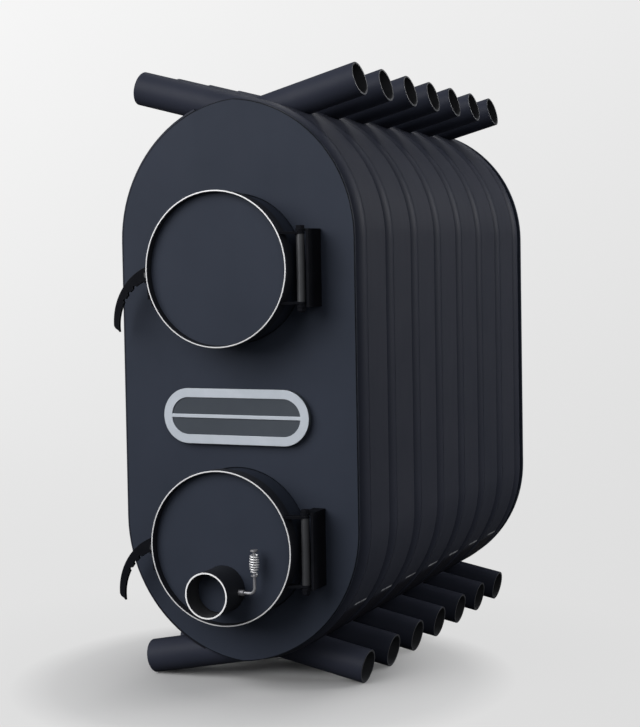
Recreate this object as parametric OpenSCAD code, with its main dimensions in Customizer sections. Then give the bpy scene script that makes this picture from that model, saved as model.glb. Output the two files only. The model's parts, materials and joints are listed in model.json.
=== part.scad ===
// Convection wood stove: a jacket of bent tubes around the firebox, two round
// doors with claw latches, a damped air inlet in the lower door and a damped
// flue outlet at the rear.
// It is drawn as seen from the front, in millimetres: x to the right, y up and
// z out of the front panel's face. The module stand() sets it upright.

/* [Body] */
// Width over the tubes and the cover strips
body_w = 438; // [430:1:446]
// Height of the upright part of each flank
flank_h = 470; // [440:5:520]
// How far the centre of each end bend lies beyond the centreline
bend_offset = 18; // [14:1:22]
// Thickness of the front and the rear panel
panel_t = 6; // [5:0.5:8]
// Front panel's edge inside the line of the tubes
front_inset = 5; // [3:0.5:7]
// Rear panel's edge inside the line of the tubes
rear_inset = 1.5; // [1:0.5:4]

/* [Tubes] */
// Outer diameter of a convection tube
tube_d = 57; // [54:0.5:58]
// Wall of a convection tube
tube_wall = 3.5; // [2.5:0.5:4.5]
// Gap between neighbouring tubes where they cross
tube_gap = 1.5; // [1:0.25:2.5]
// Rise of the upper tube ends, in degrees
rise = 14.9; // [13:0.1:16]
// Fall of the lower tube ends, in degrees
fall = 11.1; // [10:0.1:12.5]
// Distance of the upper tube ends from the centreline
top_reach = 188.8; // [180:0.2:200]
// Distance of the lower tube ends from the centreline
foot_reach = 187; // [180:0.5:198]

/* [Cover strips] */
// Thickness of a cover strip
strip_t = 3; // [2:0.5:4]
// Outer radius of the fold along a strip
strip_fold = 5; // [4.5:0.5:7]
// Arc of a strip round each bend, in degrees
strip_arc = 67; // [62:1:69]

/* [Doors] */
// Height of the upper door's centre above the panel's middle
upper_y = 187; // [180:1:195]
// Height of the lower door's centre above the panel's middle
lower_y = -265; // [-268:1:-260]
// Outer diameter of a door hoop
hoop_d = 254; // [250:0.5:256]
// Wall of a door hoop
hoop_wall = 3; // [2.5:0.25:4]
// Front edge of a hoop ahead of the panel
hoop_front = 74.5; // [72:0.5:78]
// Rear edge of a hoop ahead of the panel
hoop_back = 48; // [47.5:0.1:48.5]
// Front face of a door plate ahead of the panel
plate_front = 62; // [61.5:0.1:62.5]
// Thickness of a door plate
plate_t = 5; // [4.5:0.1:5]
// Outer diameter of the collar behind a door
collar_d = 244; // [242:0.5:244]
// Wall of a door collar
collar_wall = 5; // [4:0.5:6]
// Thickness of the sealing rope
rope_d = 9.6; // [9.3:0.1:9.6]
// Gap between a heat shield and the sealing rope
shield_gap = 8; // [5:0.5:20]

/* [Hinges] */
// Distance of a hinge pin from the centreline
hinge_x = 142; // [141:0.5:143]
// Distance of a hinge pin ahead of the panel
hinge_z = 50; // [49.5:0.1:50.5]
// Diameter of a hinge bolt
hinge_bolt_d = 10; // [9:0.5:10]
// Outer diameter of a hinge barrel
barrel_d = 13.5; // [13:0.1:13.8]
// Length of a hinge barrel
barrel_l = 115; // [111:1:119]
// Thickness of the door's hinge ears
ear_t = 4; // [3:0.5:5]
// Thickness of the bracket's web and ears
bracket_t = 4; // [3.5:0.25:4]

/* [Latches] */
// Distance of a latch pivot from the centreline
latch_x = 133; // [132.5:0.1:133.5]
// Depth of a latch pivot below the door's centre
latch_drop = 8; // [7:0.5:9]
// Thickness of a claw lever
claw_t = 6; // [5:0.25:6]
// Front face of a claw lever ahead of the panel
claw_front = 46; // [45.8:0.1:46.2]
// Drop of a claw's tip below its pivot
claw_drop = 93; // [88:1:98]
// Diameter of a latch bolt
latch_bolt_d = 8; // [7:0.5:8]

/* [Air inlet] */
// Outer diameter of the inlet stub
stub_d = 75; // [72:0.5:75]
// Wall of the inlet stub
stub_wall = 2.5; // [2.5:0.25:3.5]
// Front edge of the stub ahead of the panel
stub_front = 124.5; // [120:0.5:128]
// Depth of the stub's centre below the door's centre
stub_drop = 67; // [65:0.5:67]
// Distance of the damper shaft ahead of the panel
shaft_z = 82; // [81:0.5:84]
// Diameter of the damper rod
rod_d = 5; // [4.5:0.25:6]

/* [Coil grip] */
// Wire of the coil grip
wire_d = 2.2; // [2:0.1:2.3]
// Curls of the coil grip
curls = 7; // [6:1:7]
// Rise of one curl
curl_rise = 4.1; // [3.9:0.1:4.4]

/* [Badge] */
// Width of the badge
badge_w = 267; // [240:1:270]
// Height of the badge
badge_h = 92; // [80:1:96]
// Height of the badge's centre above the panel's middle
badge_y = -57; // [-60:1:-50]
// Depth of the badge's pan
badge_deep = 9.5; // [6:0.5:12]
// Width of the badge's bright band
badge_band = 15; // [12:0.5:18]

/* [Firebox] */
// Height of the grate's top above the panel's middle
grate_y = -96; // [-100:1:-90]
// Thickness of the grate
grate_t = 14; // [12:1:16]
// Height of the baffle's front edge above the panel's middle
baffle_front_y = 345; // [335:1:350]
// Height of the baffle's rear edge above the panel's middle
baffle_rear_y = 210; // [200:1:214]
// Thickness of the baffle
baffle_t = 5; // [4:0.5:6]

/* [Flue] */
// Outer diameter of the flue outlet
flue_d = 150; // [145:1:150]
// Wall of the flue outlet
flue_wall = 3; // [2:0.5:3]
// Length of the flue outlet behind the rear panel
flue_l = 150; // [145:1:170]
// Height of the flue outlet above the panel's middle
flue_y = 300; // [298:1:304]
// Length of the outlet that a flue pipe slides over
flue_socket = 80; // [70:1:84]
// Distance of the flue damper behind the rear panel
flue_shaft_back = 45; // [42:1:48]

/* [Hidden] */
$fn = 96;
seat = 0.2;
touch = 0.3;
weld_gap = 0.02;
run_gap = 0.08;
right_count = 8;
left_count = 7;

tube_r = tube_d / 2;
tube_step = tube_d + tube_gap;
side_x = body_w / 2 - tube_r;
bend_r = side_x + bend_offset;
half_flank = flank_h / 2;
first_right = panel_t + touch + tube_r;
first_left = first_right + tube_step;
rear_face = first_right + (right_count - 1) * 2 * tube_step + tube_r + touch;
body_l = rear_face + panel_t;

top_arc = 90 - rise;
foot_arc = 90 - fall;
top_tangent = [bend_r * cos(top_arc) - bend_offset, half_flank + bend_r * sin(top_arc)];
foot_tangent = [bend_r * cos(foot_arc) - bend_offset, -half_flank - bend_r * sin(foot_arc)];
top_run = (top_tangent.x + top_reach) / cos(rise);
foot_run = (foot_tangent.x + foot_reach) / cos(fall);
lowest = foot_tangent.y - foot_run * sin(fall) - tube_r * cos(fall);

hoop_r = hoop_d / 2;
plate_r = hoop_r - hoop_wall - seat;
plate_back = plate_front - plate_t;
collar_r = collar_d / 2;
collar_front = hoop_back - 1.4;
collar_back = -30;
rope_r = plate_r - rope_d / 2;
rope_z = plate_back - seat - rope_d / 2;
rim_r = rope_r - rope_d / 2 - seat;
rim_wall = 4;
rim_l = 7;
shield_r = rope_r - rope_d / 2 - shield_gap;
shield_t = 3;
shield_back = hoop_back - 1;
stud_r = 4;
stud_ring = 82;

stub_r = stub_d / 2;
stub_bore = stub_r - stub_wall;
stub_y = lower_y - stub_drop;
air_hole_r = stub_bore - 4;

ear_y = barrel_l / 2 - ear_t / 2;
bracket_ear_y = barrel_l / 2 + 0.8 + bracket_t / 2;
web_x = hinge_x + 9.2;
claw_back = claw_front - claw_t;
latch_at = [-latch_x, -latch_drop];
lug_back = claw_front + 0.5;
lug_t = 8;
claw_unit = claw_drop / 93;
keeper_gap = 1;
flange_low = latch_drop + 30;

rod_r = rod_d / 2;
bushing_r = rod_r + 2.2;
bushing_end = stub_r + 9;
elbow_x = 66;
elbow_r = 9;
stem_y = stub_y + 27;
curl_low = rod_r + wire_d / 2 + 0.9;
curl_mid = curl_low + 2.4;
curl_high = curl_low + 0.8;
disc_t = 2.5;
air_disc_r = stub_bore - 1.4;

inner_w = side_x - tube_r - touch;
inner_r = bend_r - tube_r - touch;
ledger_t = 3;
ledger_leg = 24;
grate_half = inner_w - ledger_t - 2;
grate_sections = 3;
grate_front = 60;
grate_back = 840;
grate_step = (grate_back - grate_front) / grate_sections;
bar_w = 14;
slot_w = 12;
baffle_front = 250;
injector_y = 200;
injector_r = 11;
injector_bore = 8.5;
injector_tip = 112;

flue_r = flue_d / 2;
flue_bore = flue_r - flue_wall;
flue_end = body_l + flue_l;
bead_w = 6;
bead_r = flue_r + 2.5;
flue_shaft_z = -(body_l + flue_shaft_back);
flue_shaft_r = 5;
flue_disc_r = flue_bore - 1.6;

paint = [0.17, 0.19, 0.22];
dark_paint = [0.12, 0.13, 0.15];
bare_steel = [0.62, 0.63, 0.64];
bright_steel = [0.82, 0.83, 0.84];
rope_white = [0.72, 0.70, 0.64];
cast_grey = [0.24, 0.24, 0.25];

// Stands the drawing upright on its lower tube ends, centred front to back.
module stand() {
    translate([0, (stub_front - flue_end) / 2, -lowest]) rotate([90, 0, 0]) children();
}

// Holds its children at one depth behind the front panel's face.
module behind(depth) {
    translate([0, 0, -depth]) children();
}

// Round piece between two distances ahead of the panel.
module disc(r, z0, z1) {
    translate([0, 0, z0]) cylinder(r = r, h = z1 - z0);
}

module ring(r, bore, z0, z1) {
    difference() {
        disc(r, z0, z1);
        disc(bore, z0 - 1, z1 + 1);
    }
}

// Rod along x between two positions.
module rod_x(r, x0, x1) {
    translate([x0, 0, 0]) rotate([0, 90, 0]) cylinder(r = r, h = x1 - x0);
}

// Rod along y between two heights.
module rod_y(r, y0, y1) {
    translate([0, y0, 0]) rotate([-90, 0, 0]) cylinder(r = r, h = y1 - y0);
}

// Outline of the body: two upright flanks and a pointed-round arch at each end.
module arch(half_w) {
    r = half_w + bend_offset;
    square([2 * half_w, 2 * half_flank], center = true);
    for (s = [-1, 1]) {
        intersection() {
            translate([-bend_offset, s * half_flank]) circle(r = r);
            translate([bend_offset, s * half_flank]) circle(r = r);
            translate([0, s * (half_flank + r / 2)]) square([2 * r, r], center = true);
        }
    }
}

module tube_section() {
    difference() {
        circle(r = tube_r);
        circle(r = tube_r - tube_wall);
    }
}

// Places its children along the sloping upper end of a right-hand tube.
module top_end() {
    translate([top_tangent.x, top_tangent.y, 0]) rotate([0, 0, top_arc]) rotate([-90, 0, 0]) children();
}

// Places its children along the sloping lower end of a right-hand tube.
module foot_end() {
    translate([foot_tangent.x, foot_tangent.y, 0]) rotate([0, 0, -foot_arc]) rotate([90, 0, 0]) children();
}

// One tube: it runs up the right flank and leaves to the left at both ends.
// Its straight ends are welded on and keep the small gap of the weld.
module flank_tube() {
    translate([side_x, -half_flank, 0]) rotate([-90, 0, 0]) linear_extrude(flank_h) tube_section();
    translate([-bend_offset, half_flank, 0])
        rotate_extrude(angle = top_arc) translate([bend_r, 0]) tube_section();
    translate([-bend_offset, -half_flank, 0]) mirror([0, 1, 0])
        rotate_extrude(angle = foot_arc) translate([bend_r, 0]) tube_section();
    top_end() translate([0, 0, weld_gap]) linear_extrude(top_run - weld_gap) tube_section();
    foot_end() translate([0, 0, weld_gap]) linear_extrude(foot_run - weld_gap) tube_section();
}

// The second tube of each side feeds an air injector through a hole.
module numbered_tube(k) {
    if (k == 2) {
        difference() {
            flank_tube();
            translate([0, injector_y, 0]) rod_x(injector_bore, side_x - tube_r - 5, side_x);
        }
    } else {
        flank_tube();
    }
}

module right_tube(k) {
    color(paint) stand() behind(first_right + (k - 1) * 2 * tube_step) numbered_tube(k);
}

module left_tube(k) {
    color(paint) stand() behind(first_left + (k - 1) * 2 * tube_step) mirror([1, 0, 0]) numbered_tube(k);
}

// Section of a cover strip: x out from the tube line, y along the body's depth.
// It starts at `from`, folds in at `to` if `fold` is set and clears a tube at 0.
module strip_section(from, to, fold, tube_behind) {
    difference() {
        union() {
            translate([tube_r - strip_t, from]) square([strip_t, (fold ? to - strip_fold : to) - from]);
            if (fold) {
                translate([0, to - strip_t]) square([tube_r - strip_fold, strip_t]);
                intersection() {
                    translate([tube_r - strip_fold, to - strip_fold]) difference() {
                        circle(r = strip_fold);
                        circle(r = strip_fold - strip_t);
                    }
                    translate([tube_r - strip_fold, to - strip_fold]) square(strip_fold);
                }
            }
        }
        if (tube_behind) circle(r = tube_r + touch);
    }
}

// A strip follows the flank and both bends and stops at the crossing tube.
module cover_strip(depth, from, to, fold, tube_behind, crossing) {
    behind(depth) difference() {
        mirror([0, 0, 1]) union() {
            translate([side_x, half_flank, 0]) rotate([90, 0, 0]) linear_extrude(flank_h)
                strip_section(from, to, fold, tube_behind);
            for (s = [0, 1]) mirror([0, s, 0]) translate([-bend_offset, half_flank, 0])
                rotate_extrude(angle = strip_arc) translate([bend_r, 0])
                strip_section(from, to, fold, tube_behind);
        }
        behind(crossing) mirror([1, 0, 0]) {
            top_end() cylinder(r = tube_r + touch, h = top_run);
            foot_end() cylinder(r = tube_r + touch, h = foot_run);
        }
    }
}

module right_strips() {
    color(paint) stand() for (k = [0:right_count - 2])
        cover_strip(first_right + k * 2 * tube_step, 0, 2 * tube_step - tube_r - touch, true, true, tube_step);
}

module left_strips() {
    color(paint) stand() mirror([1, 0, 0]) {
        cover_strip(0, panel_t + seat, first_left - tube_r - touch, true, false, first_right);
        for (k = [0:left_count - 2])
            cover_strip(first_left + k * 2 * tube_step, 0, 2 * tube_step - tube_r - touch, true, true, tube_step);
        cover_strip(first_left + (left_count - 1) * 2 * tube_step, 0,
            rear_face - first_left - (left_count - 1) * 2 * tube_step - seat, false, true, tube_step);
    }
}

module front_panel() {
    color(paint) stand() difference() {
        behind(panel_t) linear_extrude(panel_t) arch(body_w / 2 - front_inset);
        for (y = [upper_y, lower_y]) translate([0, y, 0]) disc(collar_r + seat, -panel_t - 1, 1);
    }
}

module rear_panel() {
    color(paint) stand() difference() {
        behind(body_l) linear_extrude(panel_t) arch(body_w / 2 - rear_inset);
        translate([0, flue_y, 0]) disc(flue_r + seat, -body_l - 1, -rear_face + 1);
    }
}

// Puts the children at the centre of a door.
module at_door(y) {
    stand() translate([0, y, 0]) children();
}

module door_collar() {
    ring(collar_r, collar_r - collar_wall, collar_back, collar_front);
}

module door_hoop() {
    ring(hoop_r, hoop_r - hoop_wall, hoop_back, hoop_front);
}

// Door plate with the rim that keeps the sealing rope in place.
module door_plate() {
    disc(plate_r, plate_back, plate_front);
    ring(rim_r, rim_r - rim_wall, plate_back - rim_l, plate_back);
}

module seal_rope() {
    translate([0, 0, rope_z]) rotate_extrude() translate([rope_r, 0]) circle(d = rope_d);
}

// Puts the children on each of the three studs of a heat shield.
module on_studs() {
    for (a = [30, 150, 270]) rotate(a) translate([stud_ring, 0, 0]) children();
}

module heat_shield() {
    difference() {
        disc(shield_r, shield_back, shield_back + shield_t);
        rotate(60) on_studs() disc(stud_r + seat, shield_back - 1, shield_back + shield_t + 1);
    }
}

// Each stud has a spacer ahead of the shield and a nut behind it.
module shield_studs() {
    rotate(60) on_studs() {
        disc(stud_r, shield_back - 7, plate_back - seat);
        disc(stud_r + 2.5, shield_back + shield_t + seat, plate_back - seat);
        translate([0, 0, shield_back - seat - 5]) cylinder(r = 7, h = 5, $fn = 6);
    }
}

module hinge_axis() {
    translate([hinge_x, 0, hinge_z]) children();
}

// Plan of a door ear, with x to the right and y ahead, round the hinge pin.
module ear_plan() {
    circle(r = barrel_d / 2 + 0.6);
    polygon([[0, barrel_d / 2 + 0.6], [-32, 22], [-32, -1.5], [0, -1.5]]);
}

// Lays a plan drawn in x and z down at one height.
module flat_at(y, t) {
    translate([0, y + t / 2, 0]) rotate([90, 0, 0]) linear_extrude(t) children();
}

module hinge_ears() {
    difference() {
        hinge_axis() for (s = [-1, 1]) flat_at(s * ear_y, ear_t) ear_plan();
        disc(hoop_r + seat, hoop_back - 5, hoop_front + 5);
        hinge_axis() rod_y(barrel_d / 2 + run_gap, -barrel_l, barrel_l);
    }
}

module hinge_barrel() {
    hinge_axis() difference() {
        rod_y(barrel_d / 2, -barrel_l / 2, barrel_l / 2);
        rod_y(hinge_bolt_d / 2 + run_gap, -barrel_l, barrel_l);
    }
}

// Channel bracket on the front panel: a web and two ears for the hinge bolt.
module hinge_bracket() {
    difference() {
        union() {
            translate([web_x, -bracket_ear_y - bracket_t / 2, 0])
                cube([bracket_t, 2 * bracket_ear_y + bracket_t, hinge_z]);
            for (s = [-1, 1]) flat_at(s * bracket_ear_y, bracket_t) {
                translate([hinge_x, hinge_z]) circle(r = 8);
                translate([hinge_x - 8, 0]) square([web_x - hinge_x + 8.5, hinge_z]);
            }
        }
        hinge_axis() rod_y(hinge_bolt_d / 2 + 0.05, -barrel_l, barrel_l);
    }
}

module hinge_bolt() {
    head_y = bracket_ear_y + bracket_t / 2 + seat;
    hinge_axis() {
        rod_y(hinge_bolt_d / 2, -head_y - 8, head_y + 1);
        translate([0, head_y, 0]) rotate([-90, 0, 0]) cylinder(r = 7.6, h = 5, $fn = 6);
        translate([0, -head_y - 6, 0]) rotate([-90, 0, 0]) cylinder(r = 7.6, h = 6, $fn = 6);
    }
}

// Claw lever seen from the front, round its pivot: a boss, a nose below it and
// a curved handle with finger notches on its inner edge.
module claw_outline() {
    inner_at = [17.5, -85.3];
    translate(latch_at) difference() {
        scale(claw_unit) difference() {
            union() {
                circle(r = 10);
                translate([-8, -41]) square([9, 41]);
                polygon([[-1, 9.9], [-15, 11], [-14, -14], [-1, -10]]);
                difference() {
                    intersection() {
                        translate([25, -79]) circle(r = 99);
                        polygon([[-13.5, 28], [-13.5, -52], [-60, -99], [-66, -92], [-71, -89], [-90, -60], [-90, 28]]);
                    }
                    translate(inner_at) circle(r = 81.3);
                }
            }
            for (a = [128, 138, 148]) translate(inner_at)
                translate([81.6 * cos(a), 81.6 * sin(a)]) circle(r = 3.2);
        }
        circle(r = latch_bolt_d / 2 + run_gap);
    }
}

module latch_claw() {
    translate([0, 0, claw_back]) linear_extrude(claw_t) claw_outline();
}

// Lug on the hoop that carries the latch bolt in front of the claw.
module latch_lug() {
    difference() {
        translate([0, 0, lug_back]) linear_extrude(lug_t) {
            translate(latch_at) circle(r = 7.5);
            translate([-latch_x, -latch_drop - 7.5]) square([16, 15]);
        }
        disc(hoop_r + seat, lug_back - 1, lug_back + lug_t + 1);
        translate(latch_at) disc(latch_bolt_d / 2 + 0.05, lug_back - 1, lug_back + lug_t + 1);
    }
}

module latch_bolt() {
    translate(latch_at) {
        disc(latch_bolt_d / 2, claw_back - 8, lug_back + lug_t + 1);
        translate([0, 0, lug_back + lug_t + seat]) rotate(30) cylinder(r = 6.5, h = 5, $fn = 6);
        translate([0, 0, claw_back - touch - 6]) cylinder(r = 7, h = 6, $fn = 6);
    }
}

// Keeper on the front panel: the claw's nose swings in behind its flange,
// which stops short of the hoop.
module latch_keeper() {
    post_x = -latch_x + claw_unit + keeper_gap;
    post_y = -latch_drop - 41 * claw_unit - keeper_gap;
    post_w = -sqrt(pow(hoop_r + 0.8, 2) - pow(flange_low, 2)) - post_x;
    translate([post_x, post_y - 10, 0]) cube([post_w, 10, claw_front + 5]);
    translate([post_x, post_y - 10, claw_front + 0.5]) cube([post_w, 10 - flange_low - post_y, 4.5]);
}

module upper_collar() { color(paint) at_door(upper_y) door_collar(); }
module upper_hinge_bracket() { color(dark_paint) at_door(upper_y) hinge_bracket(); }
module upper_hoop() { color(bright_steel) at_door(upper_y) door_hoop(); }
module upper_door_plate() { color(paint) at_door(upper_y) door_plate(); }
module upper_seal_rope() { color(rope_white) at_door(upper_y) seal_rope(); }
module upper_heat_shield() { color(bare_steel) at_door(upper_y) heat_shield(); }
module upper_shield_studs() { color(bare_steel) at_door(upper_y) shield_studs(); }
module upper_hinge_ears() { color(dark_paint) at_door(upper_y) hinge_ears(); }
module upper_hinge_barrel() { color(bare_steel) at_door(upper_y) hinge_barrel(); }
module upper_latch_lug() { color(dark_paint) at_door(upper_y) latch_lug(); }
module upper_latch_bolt() { color(bare_steel) at_door(upper_y) latch_bolt(); }
module upper_latch_claw() { color(dark_paint) at_door(upper_y) latch_claw(); }

module lower_collar() { color(paint) at_door(lower_y) door_collar(); }
module lower_hinge_bracket() { color(dark_paint) at_door(lower_y) hinge_bracket(); }
module lower_hoop() { color(bright_steel) at_door(lower_y) door_hoop(); }

module lower_door_plate() {
    color(paint) at_door(lower_y) difference() {
        door_plate();
        translate([0, -stub_drop, 0]) disc(stub_r + seat, plate_back - 1, plate_front + 1);
    }
}

module lower_seal_rope() { color(rope_white) at_door(lower_y) seal_rope(); }

module lower_heat_shield() {
    color(bare_steel) at_door(lower_y) difference() {
        heat_shield();
        translate([0, -stub_drop, 0]) disc(air_hole_r, shield_back - 1, shield_back + shield_t + 1);
    }
}

module lower_shield_studs() { color(bare_steel) at_door(lower_y) shield_studs(); }
module lower_hinge_ears() { color(dark_paint) at_door(lower_y) hinge_ears(); }
module lower_hinge_barrel() { color(bare_steel) at_door(lower_y) hinge_barrel(); }
module lower_latch_lug() { color(dark_paint) at_door(lower_y) latch_lug(); }
module lower_latch_bolt() { color(bare_steel) at_door(lower_y) latch_bolt(); }
module lower_latch_claw() { color(dark_paint) at_door(lower_y) latch_claw(); }

module hinge_bolts() {
    color(bare_steel) {
        at_door(upper_y) hinge_bolt();
        at_door(lower_y) hinge_bolt();
    }
}

module latch_keepers() {
    color(dark_paint) {
        at_door(upper_y) latch_keeper();
        at_door(lower_y) latch_keeper();
    }
}

// Puts the children at the middle of the air damper's shaft.
module at_shaft() {
    stand() translate([0, stub_y, shaft_z]) children();
}

module inlet_stub() {
    color(paint) difference() {
        stand() translate([0, stub_y, 0]) ring(stub_r, stub_bore, plate_back, stub_front);
        at_shaft() rod_x(rod_r + run_gap, -stub_r - 1, stub_r + 1);
    }
}

module damper_bushing() {
    color(bright_steel) at_shaft() difference() {
        rod_x(bushing_r, stub_r - 4, bushing_end);
        rod_x(rod_r + run_gap, 0, bushing_end + 1);
        translate([0, 0, -50]) cylinder(r = stub_r + seat, h = 100);
    }
}

// The disc is welded to the front of its shaft and closes the stub at rest.
module air_disc() {
    color(paint) at_shaft() translate([0, 0, rod_r + 0.1]) cylinder(r = air_disc_r, h = disc_t);
}

// Shaft, elbow and the stem that the coil grip sits on.
module air_rod() {
    color(bare_steel) at_shaft() {
        rod_x(rod_r, -stub_r - 4, elbow_x - elbow_r);
        translate([elbow_x - elbow_r, elbow_r, 0]) rotate([0, 0, -90])
            rotate_extrude(angle = 90) translate([elbow_r, 0]) circle(r = rod_r);
        translate([elbow_x, 0, 0]) rod_y(rod_r, elbow_r, stem_y - stub_y);
        at_grip() {
            cylinder(r = rod_r, h = grip_top + 2);
            translate([0, 0, 1]) cylinder(r = curl_low + wire_d / 2 + 0.4, h = 2);
            translate([0, 0, grip_top]) cylinder(r = curl_high + wire_d / 2, h = 2.5);
        }
    }
}

// Puts the children on the upper end of the stem, with z along it.
module at_grip() {
    translate([elbow_x, stem_y - stub_y, 0]) rotate([-90, 0, 0]) children();
}

// The grip's wire: a straight foot, a bend into the curls, and the same again
// at the top. Each point is [distance from the rod's axis, angle, height].
curl_steps = 8;
curl_bend = 2.2;
slope = atan(curl_rise / (360 * 3.14159 / 180 * curl_mid));
bend_angles = [0, 30, 60, 90 - slope];
foot_z = 3 + touch;
curl_start = foot_z + wire_d + curl_bend;
function turn_of(s, r) = s / r * 180 / 3.14159;
function barrel(t) = t < 0.5
    ? curl_low + (curl_mid - curl_low) * sin(180 * t)
    : curl_high + (curl_mid - curl_high) * sin(180 * t);
foot_turn = turn_of(curl_bend, curl_low);
head_turn = turn_of(curl_bend, curl_high);
curl_points = [for (i = [0:curls * curl_steps])
    [barrel(i / (curls * curl_steps)), foot_turn + 360 * i / curl_steps,
        curl_start + curl_rise * i / curl_steps]];
curl_top = curl_start + curl_rise * curls;
head_z = curl_top + curl_bend + wire_d;
grip_top = head_z + touch;
last_turn = foot_turn + 360 * curls;
wire_path = concat(
    [[curl_low, 0, foot_z]],
    [for (a = [0, 30, 60]) [curl_low, turn_of(curl_bend * (1 - cos(a)), curl_low),
        foot_z + wire_d + curl_bend * sin(a)]],
    curl_points,
    [for (a = [60, 30, 0]) [curl_high, last_turn + head_turn - turn_of(curl_bend * (1 - cos(a)), curl_high),
        curl_top + curl_bend - curl_bend * sin(a)]],
    [[curl_high, last_turn + head_turn, head_z]]);
function in_space(p) = [p[0] * cos(p[1]), p[0] * sin(p[1]), p[2]];
function unit(v) = v / norm(v);
wire_points = [for (p = wire_path) in_space(p)];
wire_n = len(wire_points);
function along(i) = i == 0 || i == wire_n - 1
    ? [0, 0, 1]
    : unit(unit(wire_points[i + 1] - wire_points[i]) + unit(wire_points[i] - wire_points[i - 1]));
function outward(i) = let (t = along(i), r = [cos(wire_path[i][1]), sin(wire_path[i][1]), 0])
    unit(r - (r * t) * t);
wire_sides = 6;
wire_rings = [for (i = [0:wire_n - 1]) let (t = along(i), a = outward(i), b = cross(t, a))
    for (j = [0:wire_sides - 1])
        wire_points[i] + wire_d / 2 * (cos(360 * j / wire_sides) * a + sin(360 * j / wire_sides) * b)];
function ring_id(i, j) = i * wire_sides + j % wire_sides;
wire_faces = concat(
    [for (i = [0:wire_n - 2]) for (j = [0:wire_sides - 1]) [ring_id(i, j), ring_id(i + 1, j), ring_id(i, j + 1)]],
    [for (i = [0:wire_n - 2]) for (j = [0:wire_sides - 1])
        [ring_id(i, j + 1), ring_id(i + 1, j), ring_id(i + 1, j + 1)]],
    [for (j = [1:wire_sides - 2]) [0, j, j + 1]],
    [for (j = [1:wire_sides - 2]) [ring_id(wire_n - 1, 0), ring_id(wire_n - 1, j + 1), ring_id(wire_n - 1, j)]]);
wire_gap = min([for (i = [0:wire_n - 1]) for (j = [i + 5:1:wire_n - 1])
    norm(wire_points[i] - wire_points[j])]) - wire_d;
rod_gap = min([for (p = wire_path) p[0]]) - wire_d / 2 - rod_r;
echo(least_gap_between_curls = wire_gap, least_gap_to_rod = rod_gap);

module coil_grip() {
    color(bright_steel) at_shaft() at_grip() polyhedron(points = wire_rings, faces = wire_faces);
}

// Obround outline of the badge, made smaller all round by `inset`.
module obround(inset) {
    r = badge_h / 2 - inset;
    square([badge_w - badge_h, 2 * r], center = true);
    for (s = [-1, 1]) translate([s * (badge_w - badge_h) / 2, 0]) circle(r = r);
}

// Shallow pan that holds the badge off the hot panel.
module badge_pan() {
    color(dark_paint) stand() translate([0, badge_y, 0]) difference() {
        translate([0, 0, seat]) linear_extrude(badge_deep - seat) obround(0);
        translate([0, 0, -1]) linear_extrude(badge_deep - 1) obround(2.5);
    }
}

// Bright band and middle bar on the face of the pan.
module badge_band_plate() {
    color(bright_steel) stand() translate([0, badge_y, badge_deep]) linear_extrude(1.8) {
        difference() {
            obround(0);
            obround(badge_band);
        }
        square([badge_w - badge_band, 6], center = true);
    }
}

// Three cast sections with long slots, side by side along the firebox.
module grate() {
    color(cast_grey) stand() for (s = [0:grate_sections - 1])
        translate([0, grate_y - grate_t / 2, -(grate_front + (s + 0.5) * grate_step)]) difference() {
            cube([2 * grate_half, grate_t, grate_step - 2], center = true);
            for (i = [-5:5]) translate([i * (bar_w + slot_w), 0, 0])
                cube([slot_w, grate_t + 2, grate_step - 40], center = true);
        }
}

// Angle bars along the inner faces of the flank tubes, under the grate's edges.
module grate_ledgers() {
    low = grate_y - grate_t - touch;
    color(dark_paint) stand() for (s = [0, 1]) mirror([s, 0, 0])
        translate([0, 0, -(grate_back + 10)]) linear_extrude(grate_back - grate_front + 20) {
            translate([inner_w - ledger_leg, low - ledger_t]) square([ledger_leg, ledger_t]);
            translate([inner_w - ledger_t, low - ledger_leg]) square([ledger_t, ledger_leg + 12]);
        }
}

// Sloping plate that sends the smoke forward before it reaches the flue.
module baffle() {
    back = rear_face - touch;
    color(dark_paint) stand() intersection() {
        rotate([0, -90, 0]) translate([0, 0, -inner_w - 1]) linear_extrude(2 * inner_w + 2)
            polygon([[-baffle_front, baffle_front_y], [-back, baffle_rear_y],
                [-back, baffle_rear_y - baffle_t], [-baffle_front, baffle_front_y - baffle_t]]);
        behind(back) linear_extrude(back) arch(inner_w);
    }
}

// Short pipes that lead hot air from the second tubes into the firebox.
module air_injector() {
    translate([0, injector_y, 0]) difference() {
        rod_x(injector_r, injector_tip, side_x - 15);
        rod_x(injector_bore, injector_tip - 1, side_x);
        translate([side_x, 0, 0]) rod_y(tube_r + seat, -40, 40);
    }
}

module air_injectors() {
    color(dark_paint) stand() {
        behind(first_right + 2 * tube_step) air_injector();
        behind(first_left + 2 * tube_step) mirror([1, 0, 0]) air_injector();
    }
}

// Puts the children at the middle of the flue damper's shaft.
module at_flue() {
    stand() translate([0, flue_y, flue_shaft_z]) children();
}

// The flue pipe slides over the outlet up to a bead.
module flue_outlet() {
    bead_back = -flue_end + flue_socket;
    color(paint) difference() {
        stand() translate([0, flue_y, 0]) {
            ring(flue_r, flue_bore, -flue_end, -rear_face + 8);
            ring(bead_r, flue_bore + 1, bead_back, bead_back + bead_w);
        }
        at_flue() rod_x(flue_shaft_r + run_gap, -flue_r - 1, flue_r + 1);
    }
}

// The damper's disc lies level at rest and keeps a quarter open when shut.
module flue_disc() {
    color(dark_paint) at_flue() translate([0, flue_shaft_r + 0.1, 0]) rotate([-90, 0, 0]) difference() {
        cylinder(r = flue_disc_r, h = disc_t);
        translate([10, 10, -1]) cube([flue_disc_r, flue_disc_r, disc_t + 2]);
    }
}

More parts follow.
